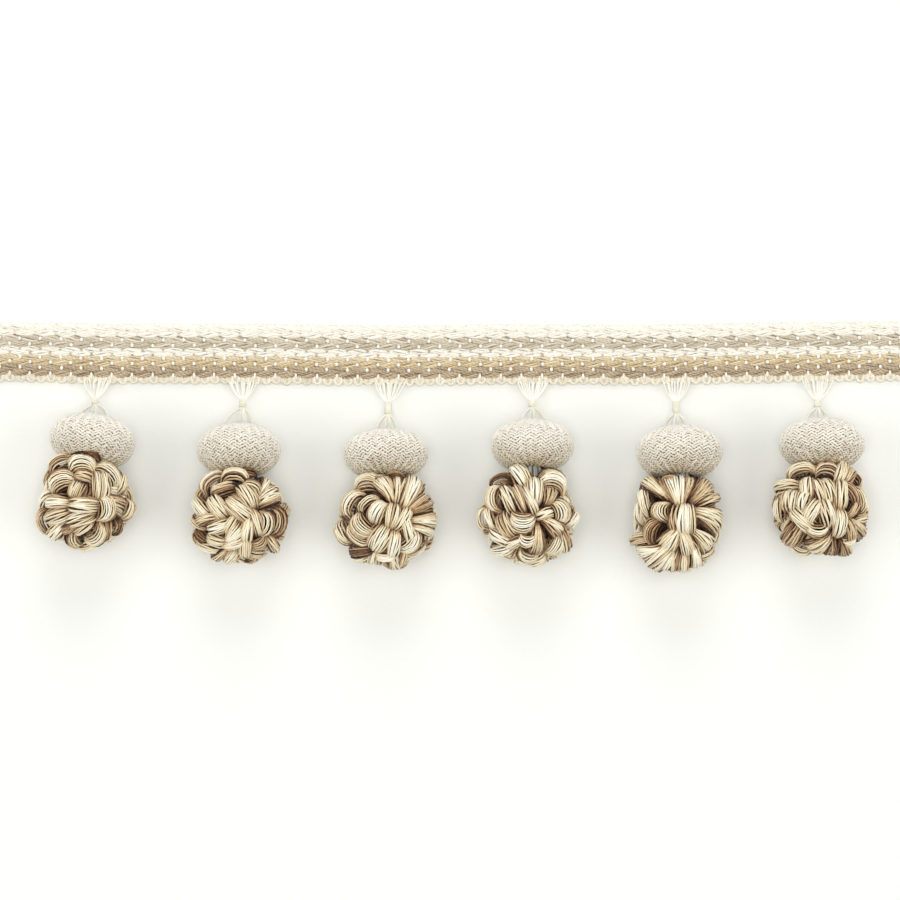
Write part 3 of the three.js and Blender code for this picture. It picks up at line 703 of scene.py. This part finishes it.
# %% Braided bead covers
BRAID_YARNS = 48
BRAID_LEAN = 0.119  # radians round the bead for each mm along its surface
BRAID_WIDE, BRAID_THICK, BRAID_RISE = 0.49, 0.34, 0.22  # half width, half thickness, over and under
POINT_TURN, YARN_TURN, POINT_LIFT = 0.014, 0.010, 0.05  # radians and mm that points and yarns stray
POINT_TONE, YARN_TONE = 0.07, 0.06
BRAID_TONE, BRAID_PAINTED_SHADE = -0.13, 0.80  # painted shade: the cover is darker towards the pompon, which keeps light off the bead's lower half
UNDER_BRAID_SHADE = (0.7, 1.0)  # of the surface under the braid, above and below: painted shade where it shows in the gaps between floats, darker towards the pompon
BORE_TOP, BORE_BOTTOM, BORE_RADIUS = 2.9, 4.6, 2.3  # mm, of the hole's two mouths and the hole


def bead_arc(drop, inset, count):
    """The bead's outline from its upper lip to its lower lip: radius and place along the axis, a
    superellipse: (r / half width) to the 2.15 plus (y / half length) to the 2.15 is 1. Also returns the
    outline's outward direction and the distance along it, in mm."""
    wide, tall = drop["bead_width"] / 2 - inset, drop["bead_length"] / 2 - inset
    t = np.linspace(np.pi / 2 - 0.02, -np.pi / 2 + 0.02, 2000)
    radius = wide * np.abs(np.cos(t)) ** (2 / BEAD_POWER)
    place = tall * np.sign(np.sin(t)) * np.abs(np.sin(t)) ** (2 / BEAD_POWER)
    keep = ~(((place > 0) & (radius < BORE_TOP)) | ((place < 0) & (radius < BORE_BOTTOM)))
    radius, place = radius[keep], place[keep]
    far = np.concatenate([[0], np.cumsum(np.hypot(np.diff(radius), np.diff(place)))])
    at = np.linspace(0, far[-1], count)
    radius, place = np.interp(at, far, radius), np.interp(at, far, place)
    slope = unit(np.stack([np.gradient(radius), np.gradient(place)], -1))
    return radius, place, np.stack([-slope[:, 1], slope[:, 0]], -1), at


def around_bead(drop, radius, place, angle):
    """Points at an angle round the bead's axis, in the frame, in mm."""
    centre, turn = bead_frame(drop)
    own = np.stack([radius * np.sin(angle), place + 0 * angle, radius * np.cos(angle)], -1)
    return own @ turn.T + centre


def bead_ground(drop):
    """The closed surface under the braid: the outline, carried on down through the hole, round."""
    radius, place, _, _ = bead_arc(drop, 2.2 * BRAID_RISE, 26)
    radius = np.concatenate([radius, [BORE_RADIUS, BORE_RADIUS]])
    place = np.concatenate([place, [place[-1] * 0.8, place[0] * 0.8]])
    around = 48
    angle = np.arange(around) * 2 * np.pi / around
    co = around_bead(drop, radius[:, None], place[:, None], angle[None, :])
    index = np.arange(co.shape[0] * around).reshape(-1, around)
    below, right = np.roll(index, -1, 0), np.roll(index, -1, 1)
    quads = np.stack([index, below, np.roll(below, -1, 1), right], -1).reshape(-1, 4)
    # The dark tone is painted shade in the braid's gaps, darker towards the pompon
    return {"co": co.reshape(-1, 3), "quads": quads, "caps": np.zeros((0, 4), int),
            "quad_uv": np.zeros((len(quads) * 4, 2)), "cap_uv": np.zeros((0, 2)),
            "tone": np.repeat(np.linspace(UNDER_BRAID_SHADE[0], UNDER_BRAID_SHADE[1], co.shape[0]), around)}


def bead(number, drop):
    """The ground and the braid's yarns: yarn k is at angle 2 pi k / 48 + lean times the mm along the
    outline, and BRAID_RISE outside or inside the surface by the sign of cos(24 x angle) times its lean."""
    rng = np.random.default_rng(200 + number)
    quarter = np.pi / BRAID_YARNS / BRAID_LEAN  # mm for a quarter of an over and under
    _, _, _, far = bead_arc(drop, BRAID_RISE, 2)
    count = int(far[-1] / quarter)
    radius, place, face, far = bead_arc(drop, BRAID_RISE, count)
    middle = (np.arange(count) - count // 2 + 0.5) * quarter
    bundles = [bead_ground(drop)]
    for lean in (1, -1):
        first = np.arange(BRAID_YARNS)[:, None] * 2 * np.pi / BRAID_YARNS
        angle = first + lean * BRAID_LEAN * middle
        wave = np.sign(np.cos(BRAID_YARNS / 2 * angle)) * lean
        angle = angle + rng.normal(0, POINT_TURN, angle.shape) \
            + rng.normal(0, YARN_TURN, (BRAID_YARNS, 1))
        lift = BRAID_RISE * wave + rng.normal(0, POINT_LIFT, angle.shape)
        points = around_bead(drop, radius + face[:, 0] * lift, place + face[:, 1] * lift, angle)
        points[..., 2] = np.maximum(points[..., 2], BRAID_WIDE)  # pressed flat on the table
        outward = around_bead(drop, radius + face[:, 0], place + face[:, 1], angle) \
            - around_bead(drop, radius, place, angle)
        crowd = np.clip(radius / (drop["bead_width"] / 2), 0.35, 1)
        # Painted shade: the braid darkens towards the bead's pompon end
        tone = BRAID_TONE + BRAID_PAINTED_SHADE * (far / far[-1]) ** 2.5 \
            + rng.normal(0, YARN_TONE, (BRAID_YARNS, 1)) + rng.normal(0, POINT_TONE, angle.shape)
        bundles.append(strands(points, BRAID_WIDE * crowd, BRAID_THICK, np.clip(tone, -0.2, 1), outward,
                               sides=3))
    return bundles


for number, drop in enumerate(DROPS, 1):
    drop_piece(bead, BEAD_BRAID, "braided_cover", number, drop)

# %% [markdown]
# The threads that hold a drop run out of the picots as a loose fan, are tied in one knot, open again into
# a small cage and go into the bead's hole. They are single fine threads, so each is its own strand. Below
# the bead the silvery core threads of the pompon come out of the hole.

# %% Hanger threads
THREAD = 0.31  # half the thread's thickness in mm
FAN_THREADS = (13, 14, 14, 14, 13, 14)  # in each drop
FAN_FOOT_Y = 23.4
FAN_BULGE = 0.7  # mm that the outermost threads bow out
KNOT_RADIUS, WRAP, WRAP_PITCH = 1.05, 0.30, 0.75  # mm, WRAP being half the wound thread's thickness
KNOT_MOUTH = 0.42  # the threads leave the knot at this share of its length from its middle
CAGE_LIFT = np.array([1.6, -1.4, 1.2, 1.9, 0.8, -1.2, 1.4])  # mm of each cage thread above the bead's pole
NECK_THREADS, NECK_WIDE, NECK_THICK = 22, 0.42, 0.36  # number, half width and half thickness in mm


def hanger(drop):
    """The bead's upper pole, the fan's foot, the knot's centre at the height that the straight line
    between them has there, and that line's direction."""
    centre, turn = bead_frame(drop)
    pole = centre + turn @ np.array([0, drop["bead_length"] / 2, 0])
    foot = np.array([drop["fan_x"], FAN_FOOT_Y + heading_bow(drop["fan_x"]), FAN_Z])
    share = (drop["knot_y"] - pole[1]) / (foot[1] - pole[1])
    middle = np.array([drop["knot_x"], drop["knot_y"], pole[2] + share * (foot[2] - pole[2])])
    return pole, foot, middle, unit(foot - pole)


def fan(number, drop):
    """Threads from the picots to the knot: straight lines plus a sideways bulge of sin(pi s)."""
    rng = np.random.default_rng(300 + number)
    _, foot, middle, tie = hanger(drop)
    count = FAN_THREADS[number - 1]
    side = np.linspace(-1, 1, count) + rng.normal(0, 0.07, count)
    s = np.linspace(0, 1, 9)
    start = np.stack([foot[0] + side * drop["fan_width"] * 0.50, foot[1] + 0 * side,
                      FAN_Z + rng.uniform(-0.3, 0.4, count)], -1)
    end = middle + tie * drop["knot_length"] * KNOT_MOUTH + side[:, None] * [0.55, 0, 0]
    bulge = np.sin(np.pi * s)[:, None] * (side * FAN_BULGE)[:, None, None] * [1, 0, 0]
    lines = start[:, None] + (end - start)[:, None] * s[:, None] + bulge
    return [strands(lines, THREAD, THREAD, rng.uniform(0, 0.25, count))]


def knot(number, drop):
    """A spindle with one thread wound round it: a helix whose radius is a sine, small at both ends."""
    rng = np.random.default_rng(400 + number)
    _, _, middle, tie = hanger(drop)
    side = unit(np.cross(tie, [0, 0, 1.0]))
    up = np.cross(side, tie)
    turns = max(3.0, drop["knot_length"] / WRAP_PITCH)
    t = np.linspace(0, 1, int(turns * 12))
    radius = KNOT_RADIUS * np.sin(np.pi * (0.18 + 0.64 * t)) ** 0.5
    angle = 2 * np.pi * turns * t
    line = (middle + tie * ((t - 0.5) * drop["knot_length"] * 0.8)[:, None]
            + (side * np.cos(angle)[:, None] + up * np.sin(angle)[:, None]) * radius[:, None])
    core = middle + tie * (np.linspace(-0.5, 0.5, 7) * drop["knot_length"])[:, None]
    girth = 0.8 * np.sin(np.pi * np.linspace(0.15, 0.85, 7))
    # The spindle is darker than the wound thread: painted shade between the wraps
    return [strands(core[None], girth, girth, 0.7, up, sides=10),
            strands(line[None], WRAP, WRAP, 0.35 + 0.1 * rng.random(), up)]


def cage(number, drop):
    """Seven threads from the knot into the bead's hole, bowed outwards by reach times sin(pi s^0.8)."""
    rng = np.random.default_rng(500 + number)
    pole, _, middle, tie = hanger(drop)
    start = middle - tie * drop["knot_length"] * KNOT_MOUTH
    reach = np.array([drop["cage_left"], drop["cage_left"] * 0.8, -0.9, 0.6, 1.3,
                      drop["cage_right"] * 0.8, drop["cage_right"]])
    s = np.linspace(0, 1, 10)
    end = np.stack([drop["knot_x"] + reach, pole[1] - 0.12 * np.abs(reach) - 0.6, pole[2] + CAGE_LIFT], -1)
    bow = (np.sin(np.pi * s ** 0.8)[:, None] * (reach * 0.42)[:, None, None]) * [1, 0.1, 0]
    lines = start + (end - start)[:, None] * s[:, None] + bow
    lines = clear_of_bead(lines, drop, THREAD)
    return [strands(lines, THREAD, THREAD, rng.uniform(0.05, 0.4, len(reach)))]


def neck(number, drop):
    """Core threads parallel to the bead's axis: thread k is at angle 2 pi k / 22 on a ring that widens
    from 1.5 mm in the hole to 3.9 mm below the bead, and every third lies inside the others."""
    rng = np.random.default_rng(600 + number)
    centre, turn = bead_frame(drop)
    half = drop["bead_length"] / 2
    count = NECK_THREADS
    angle = np.arange(count) * 2 * np.pi / count + rng.normal(0, 0.05, count)
    along = np.linspace(0.3 * half, -half - 5.0, 9)
    radius = np.interp(-along, [-0.3 * half, 0.6 * half, 0.95 * half, half + 5], [1.5, 1.6, 2.8, 3.9])
    ring = np.where(np.arange(count) % 3 == 0, 0.7, 1.0)[:, None]
    own = np.stack([radius * ring * np.cos(angle)[:, None], along + 0 * angle[:, None],
                    radius * ring * np.sin(angle)[:, None]], -1)
    tone = rng.uniform(0.2, 1.0, count)
    return [strands(own @ turn.T + centre, NECK_WIDE, NECK_THICK, tone, (0, 0.3, 1.0))]


HANGERS = [(fan, SILKY, "silky_thread"), (knot, SILKY, "knot_thread"), (cage, SILKY, "silky_thread"),
           (neck, SILVER, "neck_thread")]
for number, drop in enumerate(DROPS, 1):
    for make, skin, slot in HANGERS:
        drop_piece(make, skin, slot, number, drop)

# %% [markdown]
# The heading is a gimp: rows of soft warp yarn, held down by a weft that shows as small pale dots. A row
# swells between its dots and is drawn in at each, and the next row's dots are half a step along, so the
# rows lock together. A texture could only print this, so each row is a loose rope of six strands that
# wind slowly round each other, and neighbouring rows wind the other way.

# %% Heading rows
HEADING_HALF = 160.0  # half its length in mm
HEADING_TOP, HEADING_BOTTOM = 42.4, 24.6  # its edges in Y, in mm
DOT_PITCH = 7.2
ROW_COLUMNS = "name width twist phase tone dot".split()
ROW_TABLE = [
    ("cream_top", 1.85, 1, 0.25, 0.03, "fleck"), ("cream_low", 1.85, -1, 0.75, 0.03, "fleck"),
    ("greige_top", 2.00, 1, 0.00, 0.25, "dot"), ("greige_low", 1.85, -1, 0.50, 0.31, "dot"),
    ("white_top", 1.45, 1, 0.00, 0.02, "dash"), ("white_low", 1.45, -1, 0.50, 0.02, "dash"),
    ("tan_top", 1.50, 1, 0.00, 0.63, "dot"), ("tan_low", 2.00, -1, 0.50, 0.67, "dot"),
    ("brown_top", 1.70, 1, 0.00, 0.88, "dot"), ("brown_low", 2.15, -1, 0.50, 0.89, "stitch"),
]
ROWS = [dict(zip(ROW_COLUMNS, row)) for row in ROW_TABLE]
ROW_STRANDS = 6
ROW_STATIONS = 284
ROW_TWIST = 19.0  # mm for one turn of a row's strands round each other
ROW_Z = 1.2
ROW_HALF, ROW_SWELL = 0.06, 0.44  # of the row's width: the rope's half width at a dot, and what it gains
STRAND_HALF, STRAND_SWELL = 0.19, 0.05  # of the row's width: a strand's half thickness, and what it gains
ROPE_HALF, ROPE_SWELL = 0.15, 0.30  # mm: the rope's half height at a dot, and what it gains
ROW_SPREAD = 0.035  # how much the tones of a row's strands differ
DRAWN_IN_SHADE = 0.10  # painted shade: how much darker a row is where a dot draws it in
FIRST_DOT = (17.7 - FRAME_STEPS / 2) * STEP / MM  # X of a dot in a row of phase 0
# Soft cotton warp, matt and loosely twisted. Its ramp holds three dyes, each from light to shaded: cream
# to greige up to 0.52, tan up to 0.77, then taupe-brown
HEADING_YARN = yarn("soft_cotton_gimp_warp",
                    [(0.0, "#FDFAF0"), (0.12, "#F3ECDC"), (0.24, "#E2D8C4"), (0.38, "#C2B59C"),
                     (0.52, "#8F8168"), (0.57, "#F6ECD3"), (0.67, "#DDCBA4"), (0.77, "#B59A70"),
                     (0.82, "#D6C6AB"), (0.92, "#B09A7C"), (1.0, "#7A654A")],
                    twist=1.4, rib=0.5, wander=0.06, painted_flank_shade=0.10)


def row_centres():
    """The rows' middles in Y: each edge is the heading's top less the widths above it."""
    edges = HEADING_TOP - np.concatenate([[0], np.cumsum([r["width"] for r in ROWS])])
    return (edges[:-1] + edges[1:]) / 2


def heading_rows():
    """Each row is a loose rope of strands on an ellipse: at x, strand k stands at angle
    2 pi (k / strands + x / twist), and the ellipse swells with |sin(pi x / dot pitch)|."""
    rng = np.random.default_rng(700)
    x = np.linspace(-HEADING_HALF, HEADING_HALF, ROW_STATIONS)
    bundles = []
    for row, middle in zip(ROWS, row_centres()):
        swell = np.abs(np.sin(np.pi * ((x - FIRST_DOT) / DOT_PITCH - row["phase"]))) ** 0.8
        start = np.arange(ROW_STRANDS)[:, None] / ROW_STRANDS + rng.normal(0, 0.03, (ROW_STRANDS, 1))
        angle = 2 * np.pi * (start + row["twist"] * x / ROW_TWIST + 0.04 * np.sin(x / 5.3))
        y = middle + heading_bow(x) + row["width"] * (ROW_HALF + ROW_SWELL * swell) * np.cos(angle)
        z = ROW_Z + (ROPE_HALF + ROPE_SWELL * swell) * np.sin(angle) + 0.15 * swell
        lines = np.stack([x + 0 * y, y, z], -1)
        thick = row["width"] * (STRAND_HALF + STRAND_SWELL * swell) \
            * rng.uniform(0.9, 1.1, (ROW_STRANDS, 1))
        # The row's dye, its strands' own spread, and painted shade where a dot draws the row in
        tone = row["tone"] + rng.normal(0, ROW_SPREAD, (ROW_STRANDS, 1)) \
            + DRAWN_IN_SHADE * (1 - swell) ** 2
        bundles.append(strands(lines, thick, thick, np.clip(tone, 0, 1), sides=4))
    return bundles


heading = piece("heading_warp", heading_rows(), HEADING_YARN, ["heading"])

# %% [markdown]
# The weft is one pale yarn that goes to and fro across all rows. It shows where it passes over a row, as
# a round dot on the coloured rows, a longer stitch on the lowest and a faint fleck or dash on the palest.
# At both edges it turns back in a loop, a picot: plump and even below, fine and fuzzy above. The loops
# stand out past the rows, so they are made as strands too.

# %% Weft dots and picots
DOT_SIZES = {  # half length, half width, tone, shift in Y
    "dot": (0.64, 0.62, 0.0, 0), "stitch": (1.1, 0.50, 0.08, -0.5),
    "fleck": (0.40, 0.22, 0.45, 0), "dash": (0.45, 0.22, 0.95, 0),
}
DOT_Z, DOT_BEND = 1.9, 0.25  # mm, the second one being how far its ends go down
PICOT_ROWS = [  # place in Y, step along, reach, half width, half thickness, tone
    (HEADING_BOTTOM + 0.6, 3.6, -2.8, 1.52, 0.60, 0.48), (HEADING_BOTTOM + 0.6, 3.6, -1.8, 0.66, 0.62, 0.58),
    (HEADING_TOP - 0.6, 2.4, 1.5, 0.8, 0.30, 0.04), (HEADING_TOP - 0.7, 1.8, 1.2, 0.6, 0.30, 0.06),
]
PICOT_Z = 1.0
EDGE_YARNS = [  # place in Y, half thickness, tone
    (HEADING_BOTTOM - 0.1, 0.7, 0.50), (HEADING_BOTTOM - 1.1, 0.62, 0.55),
    (HEADING_TOP - 0.3, 0.7, 0.05), (HEADING_TOP + 0.3, 0.4, 0.08),
]
EDGE_YARN_Z = 0.89
# Bleached cotton weft: pale and matt, and in shade only where it goes under
DOT_YARN = yarn("bleached_cotton_weft", [(0.0, "#FBF8EE"), (0.5, "#EFE7D2"), (1.0, "#A79A84")], twist=0.8)


def weft_dots():
    """The weft where it crosses a row: short fat stitches, lying across the row's drawn-in places. Each
    is a strand whose radius is sqrt(1 - s^2) for s from -1 to 1, bent down at both ends by s^2."""
    rng = np.random.default_rng(710)
    bundles = []
    for row, middle in zip(ROWS, row_centres()):
        half, wide, tone, shift = DOT_SIZES[row["dot"]]
        x = FIRST_DOT + (np.arange(-30, 60) + row["phase"]) * DOT_PITCH
        x = x[np.abs(x) < HEADING_HALF - 1]
        x = x + rng.normal(0, 0.12, len(x))
        y = middle + shift + heading_bow(x) + rng.normal(0, 0.06, len(x))
        s = np.linspace(-1, 1, 6)
        across = np.array([0, 1.0, 0]) if row["dot"] != "dash" else np.array([1.0, 0.1, 0])
        lines = np.stack([x, y, DOT_Z + 0 * x], -1)[:, None] + across * (s * half)[:, None]
        lines[..., 2] -= DOT_BEND * s ** 2
        girth = wide * np.sqrt(np.clip(1 - s * s * 0.92, 0, 1))
        bundles.append(strands(lines, girth, girth, tone, sides=6))
    return bundles


def picots():
    """Loops of weft beyond both edges, at x - half cos(pi s), edge + reach sin(pi s) to the 0.7: even and
    U-shaped below, small and fuzzy above. Straight edge yarns fill their roots."""
    rng = np.random.default_rng(720)
    bundles = []
    s = np.linspace(0, 1, 8)
    for edge, pitch, reach, half, wide, tone in PICOT_ROWS:
        x = np.arange(-HEADING_HALF + pitch / 2, HEADING_HALF, pitch)
        x = x + rng.normal(0, 0.10, len(x))
        depth = reach * rng.uniform(0.88, 1.06, len(x))
        px = x[:, None] - half * np.cos(np.pi * s) * (0.72 + 0.28 * np.sin(np.pi * s))
        py = edge + heading_bow(x)[:, None] + depth[:, None] * np.sin(np.pi * s) ** 0.7
        lines = np.stack([px, py, PICOT_Z + 0.25 * np.cos(np.pi * s) ** 2 + 0 * px], -1)
        bundles.append(strands(lines, wide, wide, tone + rng.normal(0, 0.06, len(x))))
    x = np.arange(-HEADING_HALF, HEADING_HALF + 0.01, 1.2)
    for place, wide, tone in EDGE_YARNS:
        y = place + heading_bow(x) + rng.normal(0, 0.05, len(x))
        lines = np.stack([x, y, EDGE_YARN_Z + rng.normal(0, 0.06, len(x))], -1)[None]
        bundles.append(strands(lines, wide, wide, tone, sides=6))
    return bundles


dots = piece("heading_weft_dots", weft_dots(), DOT_YARN)
loops = piece("heading_picots", picots(), DOT_YARN)

# %% [markdown]
# Under the rows is the woven ground itself, one thin sheet as long as the trim.

# %% Woven ground
GROUND_THICK = 0.6


def ground():
    """One flat strand with four corners along the heading's middle line, as wide as the rows together."""
    x = np.linspace(-HEADING_HALF, HEADING_HALF, 129)
    low, high = HEADING_BOTTOM + 0.2, HEADING_TOP - 0.2
    line = np.stack([x, (low + high) / 2 + heading_bow(x), 0.5 + 0 * x], -1)[None]
    corner = np.sqrt(2)  # a corner is this much further out than a side
    # Its tone, 0.5, is near the shaded end of the greige dye: painted shade where the ground shows between
    # the rows
    return strands(line, (high - low) / 2 * corner, GROUND_THICK / 2 * corner, 0.5, sides=4, first=0.125)


sheet = piece("heading_ground", [ground()], HEADING_YARN, smooth=False)
